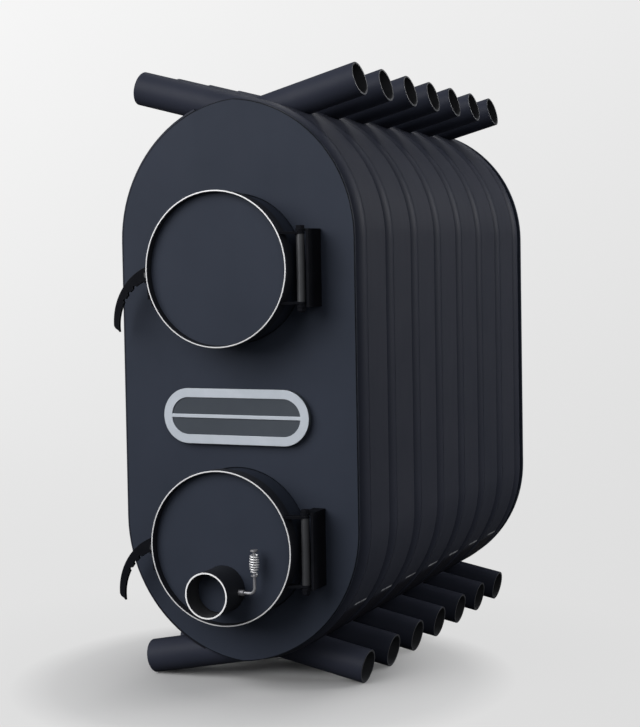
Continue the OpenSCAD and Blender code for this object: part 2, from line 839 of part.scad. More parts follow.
module flue_rod() {
    reach = flue_r + 34;
    lever = 95;
    color(bare_steel) at_flue() {
        rod_x(flue_shaft_r, -flue_r - 6, reach - 14);
        translate([reach - 14, 14, 0]) rotate([0, 0, -90])
            rotate_extrude(angle = 90) translate([14, 0]) circle(r = flue_shaft_r);
        translate([reach, 0, 0]) rod_y(flue_shaft_r, 14, lever);
    }
}

front_panel();
rear_panel();
right_tube(1);  // right_tube_1
right_tube(2);  // right_tube_2
right_tube(3);  // right_tube_3
right_tube(4);  // right_tube_4
right_tube(5);  // right_tube_5
right_tube(6);  // right_tube_6
right_tube(7);  // right_tube_7
right_tube(8);  // right_tube_8
left_tube(1);  // left_tube_1
left_tube(2);  // left_tube_2
left_tube(3);  // left_tube_3
left_tube(4);  // left_tube_4
left_tube(5);  // left_tube_5
left_tube(6);  // left_tube_6
left_tube(7);  // left_tube_7
right_strips();
left_strips();
upper_collar();
upper_hinge_bracket();
upper_hoop();
upper_door_plate();
upper_seal_rope();
upper_heat_shield();
upper_shield_studs();
upper_hinge_ears();
upper_hinge_barrel();
upper_latch_lug();
upper_latch_bolt();
upper_latch_claw();
lower_collar();
lower_hinge_bracket();
lower_hoop();
lower_door_plate();
lower_seal_rope();
lower_heat_shield();
lower_shield_studs();
lower_hinge_ears();
lower_hinge_barrel();
lower_latch_lug();
lower_latch_bolt();
lower_latch_claw();
hinge_bolts();
latch_keepers();
inlet_stub();
damper_bushing();
air_disc();
air_rod();
coil_grip();
badge_pan();
badge_band_plate();
grate();
grate_ledgers();
baffle();
air_injectors();
flue_outlet();
flue_disc();
flue_rod();
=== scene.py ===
"""Convection wood stove: dressed model, studio floor, lights and camera."""
import json
from math import cos, radians, sin

import bmesh
import bpy
from mathutils import Matrix, Vector


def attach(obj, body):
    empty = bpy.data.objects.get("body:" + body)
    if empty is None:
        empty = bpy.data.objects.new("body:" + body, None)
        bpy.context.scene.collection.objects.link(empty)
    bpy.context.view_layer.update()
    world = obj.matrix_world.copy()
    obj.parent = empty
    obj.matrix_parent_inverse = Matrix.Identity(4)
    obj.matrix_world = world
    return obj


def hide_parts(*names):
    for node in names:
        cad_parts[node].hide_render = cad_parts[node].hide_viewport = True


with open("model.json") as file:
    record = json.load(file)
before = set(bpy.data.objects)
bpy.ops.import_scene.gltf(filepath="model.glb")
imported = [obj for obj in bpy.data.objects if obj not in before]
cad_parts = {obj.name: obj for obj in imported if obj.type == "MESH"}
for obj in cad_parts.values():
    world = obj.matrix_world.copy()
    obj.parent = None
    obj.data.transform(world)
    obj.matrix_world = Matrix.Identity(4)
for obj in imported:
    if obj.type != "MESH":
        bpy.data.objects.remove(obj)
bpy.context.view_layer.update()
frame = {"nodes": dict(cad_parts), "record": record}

# Pieces are drawn in millimetres from the middle of the front panel's face:
# x to the right, y to the rear and z up. TO_ROW brings them to the frame.
MIDDLE = 457.05
LIFT = 508.598
TO_ROW = Matrix.Scale(0.001, 4) @ Matrix.Translation((0, -MIDDLE, LIFT))
TO_DRAWING = TO_ROW.inverted()

UPPER_Z = 187.0
LOWER_Z = -265.0
STUB_Z = LOWER_Z - 67.0

TUBE_R = 28.5
TUBE_BORE = 25.0
TUBE_STEP = 58.5
SIDE_X = 190.5
BEND_OFFSET = 18.0
BEND_R = SIDE_X + BEND_OFFSET
UPPER_BEND = 235.0
LOWER_BEND = -235.0
RISE = 14.9
FALL = 11.1
FIRST_RIGHT = 34.8
FIRST_LEFT = FIRST_RIGHT + TUBE_STEP

# Materials

DULL = 0.09
WELD_ANGLE = 35.5


def node_group(name, inputs, outputs):
    """New shader group with float or colour sockets, and its two end nodes."""
    group = bpy.data.node_groups.new(name, "ShaderNodeTree")
    for label, kind, value in inputs:
        socket = group.interface.new_socket(name=label, in_out="INPUT", socket_type=kind)
        socket.default_value = value
    for label, kind in outputs:
        group.interface.new_socket(name=label, in_out="OUTPUT", socket_type=kind)
    start = group.nodes.new("NodeGroupInput")
    end = group.nodes.new("NodeGroupOutput")
    return group, start, end


def add(tree, kind, settings=None, **links):
    """Adds a node, sets its values and joins its inputs, by name or as i0, i1 and on."""
    node = tree.nodes.new(kind)
    for key, value in (settings or {}).items():
        if isinstance(key, int) or key in node.inputs:
            node.inputs[key].default_value = value
        else:
            setattr(node, key, value)
    for key, source in links.items():
        by_place = key[0] == "i" and key[1:].isdigit()
        tree.links.new(source, node.inputs[int(key[1:]) if by_place else key])
    return node


def ramp(tree, source, stops):
    """Colour ramp over stops of (place, grey level)."""
    node = tree.nodes.new("ShaderNodeValToRGB")
    points = node.color_ramp.elements
    while len(points) < len(stops):
        points.new(0.5)
    for point, (place, level) in zip(points, stops):
        point.position = place
        point.color = (level, level, level, 1)
    tree.links.new(source, node.inputs[0])
    return node


def noise(tree, place, scale, detail=3.0, rough=0.5):
    """Noise over the piece; its scale, in waves per metre, is a number or a socket."""
    node = tree.nodes.new("ShaderNodeTexNoise")
    if hasattr(scale, "links"):
        tree.links.new(scale, node.inputs["Scale"])
    else:
        node.inputs["Scale"].default_value = scale
    node.inputs["Detail"].default_value = detail
    node.inputs["Roughness"].default_value = rough
    tree.links.new(place, node.inputs["Vector"])
    return node


def cloud_group():
    """Slow, cloudy drift of a coat of paint, and its fine powdery grain."""
    group, start, end = node_group(
        "coat_clouds",
        [("Cloud size", "NodeSocketFloat", 7.0), ("Grain size", "NodeSocketFloat", 900.0)],
        [("Clouds", "NodeSocketFloat"), ("Grain", "NodeSocketFloat"), ("Runs", "NodeSocketFloat")])
    place = add(group, "ShaderNodeTexCoord").outputs["Object"]
    slow = noise(group, place, start.outputs["Cloud size"], 4.0, 0.55)
    fine = noise(group, place, start.outputs["Grain size"], 2.0, 0.6)
    stretch = add(group, "ShaderNodeMapping", {"Scale": (1.0, 1.0, 0.12)}, Vector=place)
    runs = noise(group, stretch.outputs[0], 60.0, 3.0, 0.5)
    clouds = ramp(group, slow.outputs[0], [(0.3, 0.0), (0.7, 1.0)])
    group.links.new(clouds.outputs[0], end.inputs["Clouds"])
    group.links.new(fine.outputs[0], end.inputs["Grain"])
    group.links.new(runs.outputs[0], end.inputs["Runs"])
    return group


def weld_glint_group():
    """Masks of the weld across each strip's lower bend, with its painted highlight, and of the painted shade
    below it.
    """
    group, start, end = node_group(
        "weld_glint_and_shade",
        [("Side", "NodeSocketFloat", 1.0), ("First tube", "NodeSocketFloat", 0.0)],
        [("Mask", "NodeSocketFloat"), ("Below", "NodeSocketFloat")])
    place = add(group, "ShaderNodeTexCoord").outputs["Object"]
    parts = add(group, "ShaderNodeSeparateXYZ", i0=place)
    across = add(group, "ShaderNodeMath", {"operation": "MULTIPLY_ADD", 2: BEND_OFFSET / 1000},
                 i0=parts.outputs[0], i1=start.outputs["Side"])
    down = add(group, "ShaderNodeMath", {"operation": "SUBTRACT", 0: (LIFT + LOWER_BEND) / 1000},
               i1=parts.outputs[2])
    angle = add(group, "ShaderNodeMath", {"operation": "ARCTAN2"}, i0=down.outputs[0], i1=across.outputs[0])
    weld = radians(WELD_ANGLE)
    seam = ramp(group, angle.outputs[0], [(weld - 0.012, 0.0), (weld - 0.007, 1.0), (weld + 0.005, 1.0),
                                          (weld + 0.009, 0.0)])
    below = ramp(group, angle.outputs[0], [(weld, 0.0), (weld + 0.05, 1.0)])
    row = add(group, "ShaderNodeMath", {"operation": "SUBTRACT"}, i0=parts.outputs[1],
              i1=start.outputs["First tube"])
    row = add(group, "ShaderNodeMath", {"operation": "MULTIPLY", 1: 500.0 / TUBE_STEP}, i0=row.outputs[0])
    row = add(group, "ShaderNodeMath", {"operation": "FRACT"}, i0=row.outputs[0])
    gap = ramp(group, row.outputs[0], [(0.27, 0.0), (0.33, 1.0), (0.67, 1.0), (0.73, 0.0)])
    broken = ramp(group, noise(group, place, 45.0, 3.0, 0.6).outputs[0], [(0.30, 0.25), (0.52, 1.0)])
    both = add(group, "ShaderNodeMath", {"operation": "MULTIPLY"}, i0=seam.outputs[0], i1=gap.outputs[0])
    both = add(group, "ShaderNodeMath", {"operation": "MULTIPLY", "use_clamp": True},
               i0=both.outputs[0], i1=broken.outputs[0])
    group.links.new(both.outputs[0], end.inputs["Mask"])
    group.links.new(below.outputs[0], end.inputs["Below"])
    return group


def brushing_group():
    """Fine turning or brushing lines, finest along one direction."""
    group, start, end = node_group(
        "tool_lines",
        [("Fineness", "NodeSocketFloat", 700.0)],
        [("Lines", "NodeSocketFloat"), ("Patches", "NodeSocketFloat")])
    place = add(group, "ShaderNodeTexCoord").outputs["Object"]
    stretch = add(group, "ShaderNodeMapping", {"Scale": (0.25, 3.0, 0.25)}, Vector=place)
    lines = noise(group, stretch.outputs[0], start.outputs["Fineness"], 2.0, 0.6)
    patches = noise(group, place, 40.0, 3.0, 0.5)
    group.links.new(lines.outputs[0], end.inputs["Lines"])
    group.links.new(patches.outputs[0], end.inputs["Patches"])
    return group


CLOUDS = cloud_group()
WELD_GLINT = weld_glint_group()
LINES = brushing_group()


def blank(name):
    """New material with an empty tree, its shader and its output."""
    mat = bpy.data.materials.new(name)
    mat.use_nodes = True
    tree = mat.node_tree
    tree.nodes.clear()
    shader = tree.nodes.new("ShaderNodeBsdfPrincipled")
    out = tree.nodes.new("ShaderNodeOutputMaterial")
    tree.links.new(shader.outputs[0], out.inputs[0])
    return mat, tree, shader


def use_group(tree, group, **values):
    """Places a shader group with this material's own values."""
    node = tree.nodes.new("ShaderNodeGroup")
    node.node_tree = group
    for key, value in values.items():
        node.inputs[key.replace("_", " ")].default_value = value
    return node


def blend_colours(tree, mask, low, high):
    """Mixes two colours, or two sockets, by a mask."""
    node = tree.nodes.new("ShaderNodeMix")
    node.data_type = "RGBA"
    tree.links.new(mask, node.inputs[0])
    for socket, value in ((node.inputs[6], low), (node.inputs[7], high)):
        if hasattr(value, "links"):
            tree.links.new(value, socket)
        else:
            socket.default_value = (*value, 1)
    return node.outputs[2]


def span(tree, mask, low, high):
    """Carries a mask from 0..1 to low..high."""
    node = tree.nodes.new("ShaderNodeMapRange")
    node.inputs[3].default_value = low
    node.inputs[4].default_value = high
    tree.links.new(mask, node.inputs[0])
    return node.outputs[0]


def bumped(tree, shader, height, strength, distance):
    """Fine relief on a surface, with its depth in metres."""
    node = tree.nodes.new("ShaderNodeBump")
    node.inputs["Strength"].default_value = strength
    node.inputs["Distance"].default_value = distance
    tree.links.new(height, node.inputs["Height"])
    tree.links.new(node.outputs[0], shader.inputs["Normal"])


def painted(name, low, high, rough=(0.5, 0.62), grain=0.25, cloud=7.0, side=0, gloss=DULL):
    """Matt heat-proof paint: cloudy colour and a powdery grain.

    `side` is 1 or -1 on the right or left cover strips, which have the welds: a painted highlight along each
    weld and painted shade below it.
    """
    mat, tree, shader = blank(name)
    clouds = use_group(tree, CLOUDS, Cloud_size=cloud, Grain_size=1100.0)
    coat = blend_colours(tree, clouds.outputs["Clouds"], low, high)
    # On the cover strips: painted shade below each weld and a painted highlight along it.
    if side:
        first = FIRST_RIGHT if side > 0 else FIRST_LEFT
        ends = use_group(tree, WELD_GLINT, Side=side, First_tube=(first - MIDDLE) / 1000)
        coat = blend_colours(tree, ends.outputs["Below"], coat, UNDERSIDE_SHADE)
        coat = blend_colours(tree, ends.outputs["Mask"], coat, WELD_GLINT_COLOUR)
    tree.links.new(coat, shader.inputs["Base Color"])
    tree.links.new(span(tree, clouds.outputs["Runs"], *rough), shader.inputs["Roughness"])
    shader.inputs["Specular IOR Level"].default_value = gloss
    bumped(tree, shader, clouds.outputs["Grain"], grain, 0.0003)
    return mat


def bare_metal(name, low, high, rough, metallic):
    """Turned or brushed bare steel, less metallic where it is dull or coated."""
    mat, tree, shader = blank(name)
    lines = use_group(tree, LINES, Fineness=700.0)
    shade = blend_colours(tree, lines.outputs["Patches"], low, high)
    tree.links.new(shade, shader.inputs["Base Color"])
    tree.links.new(span(tree, lines.outputs["Lines"], *rough), shader.inputs["Roughness"])
    shader.inputs["Metallic"].default_value = metallic
    bumped(tree, shader, lines.outputs["Lines"], 0.12, 0.0002)
    return mat


def soot_and_shade(name, low, high, rough=(0.7, 0.95), size=35.0):
    """Steel or iron under soot and ash; in the tube and stub bores, a painted shade."""
    mat, tree, shader = blank(name)
    clouds = use_group(tree, CLOUDS, Cloud_size=size, Grain_size=600.0)
    tree.links.new(blend_colours(tree, clouds.outputs["Clouds"], low, high), shader.inputs["Base Color"])
    tree.links.new(span(tree, clouds.outputs["Runs"], *rough), shader.inputs["Roughness"])
    bumped(tree, shader, clouds.outputs["Grain"], 0.5, 0.0006)
    return mat


# Painted highlight along the strips' welds, and painted shade on the strips below them.
WELD_GLINT_COLOUR = (0.42, 0.43, 0.45)
UNDERSIDE_SHADE = (0.011, 0.011, 0.016)
STRIP_LOW = (0.0240, 0.0270, 0.0390)
STRIP_HIGH = (0.0300, 0.0325, 0.0450)

BODY_PAINT = painted("body_paint", (0.0245, 0.0300, 0.0440), (0.0290, 0.0350, 0.0510))
# Front panel's rounded edge: near-black painted shade where the panel meets the tubes.
PANEL_EDGE_SHADE = painted("panel_edge_shade", (0.005, 0.006, 0.008), (0.010, 0.012, 0.016),
                     rough=(0.4, 0.5), grain=0.1, cloud=60.0, gloss=0.03)
RIGHT_STRIP_PAINT = painted("right_strip_paint", STRIP_LOW, STRIP_HIGH, side=1)
LEFT_STRIP_PAINT = painted("left_strip_paint", STRIP_LOW, STRIP_HIGH, side=-1)
TUBE_PAINT = painted("tube_paint", (0.0215, 0.0245, 0.0370), (0.0270, 0.0300, 0.0440), rough=(0.45, 0.58))
# Outer sides of the door hoops and of the air stub: body paint darkened as painted shade.
HOOP_SHADE_PAINT = painted("hoop_shaded_paint", (0.016, 0.017, 0.022), (0.022, 0.024, 0.029), rough=(0.5, 0.6))
DARK_PAINT = painted("dark_paint", (0.0050, 0.0055, 0.0075), (0.0080, 0.0085, 0.0110),
                     rough=(0.45, 0.6), grain=0.35, cloud=25.0, gloss=0.02)
DARK_EDGE = painted("dark_edge", (0.012, 0.0125, 0.015), (0.026, 0.027, 0.030),
                    rough=(0.35, 0.45), grain=0.1, cloud=60.0, gloss=0.04)
PAN_PAINT = painted("pan_paint", (0.046, 0.054, 0.066), (0.058, 0.067, 0.080), rough=(0.45, 0.6))
BRIGHT_EDGE = bare_metal("bright_edge", (0.60, 0.60, 0.61), (0.70, 0.70, 0.71), (0.34, 0.5), 0.15)
STUB_EDGE = bare_metal("stub_edge", (0.84, 0.84, 0.85), (0.94, 0.94, 0.95), (0.34, 0.5), 0.15)
BAND_STEEL = bare_metal("band_steel", (0.40, 0.44, 0.49), (0.49, 0.525, 0.58), (0.42, 0.58), 0.25)
WIRE_STEEL = bare_metal("wire_steel", (0.82, 0.82, 0.83), (0.94, 0.94, 0.95), (0.20, 0.34), 0.45)
ROD_STEEL = bare_metal("rod_steel", (0.26, 0.26, 0.28), (0.38, 0.38, 0.40), (0.3, 0.45), 0.6)
BARREL_STEEL = bare_metal("barrel_steel", (0.030, 0.031, 0.035), (0.050, 0.052, 0.056), (0.35, 0.48), 0.3)
CUT_EDGE = bare_metal("cut_edge", (0.036, 0.038, 0.045), (0.068, 0.071, 0.080), (0.35, 0.5), 0.3)
SHIELD_STEEL = bare_metal("shield_steel", (0.26, 0.25, 0.24), (0.42, 0.41, 0.40), (0.4, 0.6), 0.9)
# Tube and stub bores: near-black painted shade.
BORE_SHADE = soot_and_shade("bore_shade", (0.010, 0.011, 0.014), (0.020, 0.021, 0.025))
SOOTY_STEEL = soot_and_shade("sooty_steel", (0.012, 0.011, 0.010), (0.032, 0.029, 0.027))
CAST_IRON = soot_and_shade("cast_iron", (0.030, 0.029, 0.028), (0.060, 0.057, 0.054), (0.6, 0.85), 60.0)


def rope_material():
    """White glass-fibre yarn with fine fibres across the strands."""
    mat, tree, shader = blank("rope_yarn")
    place = add(tree, "ShaderNodeTexCoord").outputs["Object"]
    fibres = noise(tree, place, 1400.0, 4.0, 0.7)
    stain = noise(tree, place, 30.0, 3.0, 0.5)
    shade = blend_colours(tree, stain.outputs[0], (0.42, 0.39, 0.33), (0.74, 0.72, 0.66))
    tree.links.new(shade, shader.inputs["Base Color"])
    tree.links.new(span(tree, fibres.outputs[0], 0.75, 1.0), shader.inputs["Roughness"])
    bumped(tree, shader, fibres.outputs[0], 0.6, 0.0004)
    return mat


ROPE_YARN = rope_material()

# Making pieces

DOUBLES_APART = 2e-6
FLAT_WITHIN = 0.6
LATHE_STEPS = 128

BODY_OF = {}
for body_name, members in frame["record"]["behaviour"]["bodies"].items():
    for member in members:
        BODY_OF[member] = body_name


def sharp_edges(bm, least):
    """Edges of a closed mesh that turn by more than `least` degrees."""
    return [edge for edge in bm.edges
            if len(edge.link_faces) == 2 and edge.calc_face_angle(0) > radians(least)]


def round_edges(bm, width, least=30.0):
    """Rounds the sharp edges and returns the narrow faces that this makes."""
    edges = sharp_edges(bm, least)
    if not edges:
        return []
    return bmesh.ops.bevel(bm, geom=edges, offset=width, offset_type="OFFSET", affect="EDGES",
                           segments=2, profile=0.5, material=-1, clamp_overlap=True)["faces"]


def piece(name, bm, mats, node, smooth=40.0, pick=None):
    """Turns a drawing in millimetres into the piece that stands for a node.

    Edges that turn by more than `smooth` degrees stay sharp, and `pick` gives
    the place in `mats` for a face, from its middle.
    """
    bmesh.ops.recalc_face_normals(bm, faces=bm.faces)
    if pick:
        for face in bm.faces:
            face.material_index = pick(face.calc_center_median())
    bm.transform(TO_ROW)
    mesh = bpy.data.meshes.new(name)
    bm.to_mesh(mesh)
    bm.free()
    if "custom_normal" in mesh.attributes:
        mesh.attributes.remove(mesh.attributes["custom_normal"])
    for mat in mats:
        mesh.materials.append(mat)
    mesh.shade_smooth()
    mesh.set_sharp_from_angle(angle=radians(smooth))
    obj = bpy.data.objects.new(name, mesh)
    bpy.context.scene.collection.objects.link(obj)
    flat = obj.modifiers.new("even_shading", "WEIGHTED_NORMAL")
    flat.keep_sharp = True
    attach(obj, BODY_OF[node])
    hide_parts(node)


def softened(name, node, width, mats, pick=None, edge=None):
    """A node's own shape with its edges broken as a file or a press leaves them.

    The rounded edges take the material `edge`: a coat rubbed thin, and on the front panel a painted shade.
    """
    bm = bmesh.new()
    bm.from_mesh(frame["nodes"][node].data)
    bmesh.ops.remove_doubles(bm, verts=bm.verts, dist=DOUBLES_APART)
    bm.transform(TO_DRAWING)
    bmesh.ops.dissolve_limit(bm, angle_limit=radians(FLAT_WITHIN), use_dissolve_boundaries=False,
                             verts=bm.verts, edges=bm.edges, delimit={"NORMAL"})
    rounded = round_edges(bm, width)
    if edge:
        for face in rounded:
            face.material_index = len(mats)
        mats = [*mats, edge]
    piece(name, bm, mats, node, pick=pick)


def is_vert(item):
    return isinstance(item, bmesh.types.BMVert)


def is_edge(item):
    return isinstance(item, bmesh.types.BMEdge)


def run_on(bm, edges, step):
    """Extrudes loops of edges by a straight step and returns the new loops."""
    made = bmesh.ops.extrude_edge_only(bm, edges=edges)["geom"]
    verts = [item for item in made if is_vert(item)]
    bmesh.ops.translate(bm, verts=verts, vec=step)
    fresh = set(verts)
    return [item for item in made if is_edge(item) and set(item.verts) <= fresh]


def turn_on(bm, edges, centre, axis, angle, steps):
    """Carries loops of edges round a bend and returns the last loops."""
    verts = list({vert for edge in edges for vert in edge.verts})
    made = bmesh.ops.spin(bm, geom=edges + verts, cent=centre, axis=axis, angle=radians(angle),
                          steps=steps, use_merge=False, use_duplicate=False)["geom_last"]
    return [item for item in made if is_edge(item)]


def loop_at(bm, centre, radius, facing, sides):
    """Circle of edges around a centre, with its axis along `facing`."""
    place = Matrix.Translation(centre) @ Vector(facing).to_track_quat("Z", "Y").to_matrix().to_4x4()
    verts = bmesh.ops.create_circle(bm, cap_ends=False, segments=sides, radius=radius, matrix=place)["verts"]
    return list({edge for vert in verts for edge in vert.link_edges})


def turned(points, centre, axis=(0, 1, 0)):
    """Lathe work: a closed section of (radius, distance along the axis) points."""
    bm = bmesh.new()
    along = Vector(axis)
    out = Vector((1, 0, 0))
    verts = [bm.verts.new(Vector(centre) + out * r + along * h) for r, h in points]
    edges = [bm.edges.new((verts[i - 1], verts[i])) for i in range(len(verts))]
    bmesh.ops.spin(bm, geom=verts + edges, cent=centre, axis=axis, angle=radians(360),
                   steps=LATHE_STEPS, use_merge=True, use_duplicate=False)
    bmesh.ops.remove_doubles(bm, verts=bm.verts, dist=0.001)
    return bm


# Tubes

RIGHT_TUBES = 8
LEFT_TUBES = 7
TUBE_SIDES = 56
BEND_STEPS = 26
TUBE_EDGE = 0.7
TOP_REACH = 188.8
FOOT_REACH = 187.0
TOP_TANGENT = Vector((BEND_R * cos(radians(90 - RISE)) - BEND_OFFSET, 0,
                      UPPER_BEND + BEND_R * sin(radians(90 - RISE))))
FOOT_TANGENT = Vector((BEND_R * cos(radians(90 - FALL)) - BEND_OFFSET, 0,
                       LOWER_BEND - BEND_R * sin(radians(90 - FALL))))
TOP_WAY = Vector((-cos(radians(RISE)), 0, sin(radians(RISE))))
FOOT_WAY = Vector((-cos(radians(FALL)), 0, -sin(radians(FALL))))
TOP_RUN = (TOP_TANGENT.x + TOP_REACH) / cos(radians(RISE))
FOOT_RUN = (FOOT_TANGENT.x + FOOT_REACH) / cos(radians(FALL))
TOP_END_Z = TOP_TANGENT.z + TOP_RUN * sin(radians(RISE))
FOOT_END_Z = FOOT_TANGENT.z - FOOT_RUN * sin(radians(FALL))


def tube_wall(bm, depth, radius, slot):
    """Wall of a tube, drawn from its flank both ways; returns its end loops."""
    before = set(bm.faces)
    start = loop_at(bm, (SIDE_X, depth, LOWER_BEND), radius, (0, 0, 1), TUBE_SIDES)
    up = run_on(bm, start, (0, 0, UPPER_BEND - LOWER_BEND))
    up = turn_on(bm, up, (-BEND_OFFSET, depth, UPPER_BEND), (0, -1, 0), 90 - RISE, BEND_STEPS)
    up = run_on(bm, up, TOP_WAY * TOP_RUN)
    down = turn_on(bm, start, (-BEND_OFFSET, depth, LOWER_BEND), (0, 1, 0), 90 - FALL, BEND_STEPS)
    down = run_on(bm, down, FOOT_WAY * FOOT_RUN)
    for face in bm.faces:
        if face not in before:
            face.material_index = slot
    return up, down


def close_rim(bm, outer, tip):
    """Flat rim at a tube's end, from its outer wall in to its bore."""
    made = bmesh.ops.extrude_edge_only(bm, edges=outer)["geom"]
    for vert in filter(is_vert, made):
        vert.co = tip + (vert.co - tip) * (TUBE_BORE / TUBE_R)
    for face in made:
        if isinstance(face, bmesh.types.BMFace):
            face.material_index = 1


def make_tube(node, depth, mirrored):
    """One bent tube of the jacket: outer wall, bore and the two rims."""
    bm = bmesh.new()
    ends = tube_wall(bm, depth, TUBE_R, 0)
    tube_wall(bm, depth, TUBE_BORE, 2)
    close_rim(bm, ends[0], Vector((-TOP_REACH, depth, TOP_END_Z)))
    close_rim(bm, ends[1], Vector((-FOOT_REACH, depth, FOOT_END_Z)))
    bmesh.ops.remove_doubles(bm, verts=bm.verts, dist=0.05)
    if mirrored:
        bmesh.ops.scale(bm, vec=(-1, 1, 1), verts=bm.verts)
    bmesh.ops.recalc_face_normals(bm, faces=bm.faces)
    round_edges(bm, TUBE_EDGE, 60.0)
    piece(f"{node}_pipe", bm, [TUBE_PAINT, CUT_EDGE, BORE_SHADE], node)


for number in range(RIGHT_TUBES):
    make_tube(f"right_tube_{number + 1}", FIRST_RIGHT + number * 2 * TUBE_STEP, False)
for number in range(LEFT_TUBES):
    make_tube(f"left_tube_{number + 1}", FIRST_LEFT + number * 2 * TUBE_STEP, True)

# Doors

HOOP_R = 127.0
HOOP_BORE = 124.0
HOOP_FRONT = -74.5
HOOP_BACK = -48.0
BRIGHT_FROM = 125.0
HINGE_X = 142.0
HINGE_Y = -50.0
HINGE_BOLT_R = 5.0
RUN_GAP = 0.08
BARREL_R = 6.75
BARREL_BORE = HINGE_BOLT_R + RUN_GAP
BARREL_HALF = 57.5
ROPE_RING_R = 119.0
ROPE_Y = -52.0
ROPE_R = 4.5
ROPE_SIDES = 28
ROPE_STEPS = 420
STRANDS = 4
LAYS = 30
FURROW_DEPTH = 0.16


def make_door(side, z):
    """A door with its hoop, collar, hinge and latch, at its height on the panel."""
    def on_bright_rim(c):
        return c.y < HOOP_FRONT + 0.3 and Vector((c.x, 0, c.z - z)).length > BRIGHT_FROM

    hoop = turned([(HOOP_BORE, HOOP_FRONT), (BRIGHT_FROM, HOOP_FRONT), (HOOP_R, HOOP_FRONT),
                   (HOOP_R, HOOP_BACK), (HOOP_BORE, HOOP_BACK)], (0, 0, z))
    round_edges(hoop, 0.4)
    piece(f"{side}_hoop_ring", hoop, [HOOP_SHADE_PAINT, BRIGHT_EDGE], f"{side}_hoop",
          pick=lambda c: 1 if on_bright_rim(c) else 0)
    softened(f"{side}_door_face", f"{side}_door_plate", 0.5, [BODY_PAINT])
    softened(f"{side}_heat_plate", f"{side}_heat_shield", 0.5, [SHIELD_STEEL])
    softened(f"{side}_stud_set", f"{side}_shield_studs", 0.4, [ROD_STEEL])
    softened(f"{side}_collar_ring", f"{side}_collar", 0.6, [BODY_PAINT])
    softened(f"{side}_ear_pair", f"{side}_hinge_ears", 0.5, [DARK_PAINT], edge=DARK_EDGE)
    barrel = turned([(BARREL_BORE, -BARREL_HALF), (BARREL_R, -BARREL_HALF), (BARREL_R, BARREL_HALF),
                     (BARREL_BORE, BARREL_HALF)], (HINGE_X, HINGE_Y, z), (0, 0, 1))
    round_edges(barrel, 0.5)
    piece(f"{side}_barrel_tube", barrel, [BARREL_STEEL], f"{side}_hinge_barrel")
    softened(f"{side}_bracket_channel", f"{side}_hinge_bracket", 0.5, [DARK_PAINT], edge=DARK_EDGE)
    softened(f"{side}_claw_lever", f"{side}_latch_claw", 0.7, [DARK_PAINT], edge=DARK_EDGE)
    softened(f"{side}_lug_block", f"{side}_latch_lug", 0.5, [DARK_PAINT], edge=DARK_EDGE)
    softened(f"{side}_latch_pin", f"{side}_latch_bolt", 0.4, [BARREL_STEEL])
    make_rope(side, z)


def make_rope(side, z):
    """Sealing rope: four strands laid round each other all the way round."""
    bm = bmesh.new()
    loop = loop_at(bm, (ROPE_RING_R, ROPE_Y, z), ROPE_R, (0, 0, 1), ROPE_SIDES)
    verts = list({vert for edge in loop for vert in edge.verts})
    middle = Vector((0, ROPE_Y, z))
    bmesh.ops.spin(bm, geom=loop + verts, cent=middle, axis=(0, -1, 0), angle=radians(360),
                   steps=ROPE_STEPS, use_merge=True, use_duplicate=False)
    for vert in bm.verts:
        off = vert.co - middle
        flat = Vector((off.x, 0, off.z))
        around = flat.normalized()
        out = flat.length - ROPE_RING_R
        turn = Vector((1, 0)).angle_signed(Vector((around.x, around.z)), 0)
        place = Vector((1, 0)).angle_signed(Vector((out, off.y)), 0)
        furrow = abs(sin(STRANDS / 2 * (place + LAYS * turn)))
        swell = 1.0 - FURROW_DEPTH * furrow
        vert.co = middle + around * (ROPE_RING_R + out * swell) + Vector((0, off.y * swell, 0))
    piece(f"{side}_rope", bm, [ROPE_YARN], f"{side}_seal_rope", smooth=60.0)


make_door("upper", UPPER_Z)
make_door("lower", LOWER_Z)
softened("hinge_bolt_pair", "hinge_bolts", 0.5, [DARK_PAINT])
softened("keeper_pair", "latch_keepers", 0.6, [DARK_PAINT], edge=DARK_EDGE)

# Air inlet

STUB_R = 37.5
STUB_BORE = 35.0
STUB_FRONT = -124.5
SHAFT_Y = -82.0
ROD_R = 2.5
ROD_PAST = 4.0
STEM_X = 66.0
STEM_UP = 27.0
ELBOW_R = 9.0
GRIP_CURLS = 7
CURL_STEPS = 28
LEAD_TURN = 84.0
WIRE_SIDES = 14
GRIP_RISE = 4.1
WIRE_R = 1.1
CURL_LOW = ROD_R + WIRE_R + 0.9
CURL_MID = CURL_LOW + 2.4
CURL_HIGH = CURL_LOW + 0.8
GRIP_FOOT = 3.3
WIRE_BEND = 2.2
CURL_START = GRIP_FOOT + 2 * WIRE_R + WIRE_BEND
CURL_TOP = CURL_START + GRIP_RISE * GRIP_CURLS
GRIP_TOP = CURL_TOP + WIRE_BEND + 2 * WIRE_R + 0.3


def stub_part(c):
    """0 outside the stub, 1 on its front edge and 2 in its bore."""
    if c.y < STUB_FRONT + 0.5:
        return 1
    return 2 if Vector((c.x, 0, c.z - STUB_Z)).length < (STUB_R + STUB_BORE) / 2 else 0


softened("stub_pipe", "inlet_stub", 0.4, [HOOP_SHADE_PAINT, STUB_EDGE, BORE_SHADE], stub_part)
softened("bushing_sleeve", "damper_bushing", 0.5, [ROD_STEEL])
softened("damper_plate", "air_disc", 0.5, [BODY_PAINT])


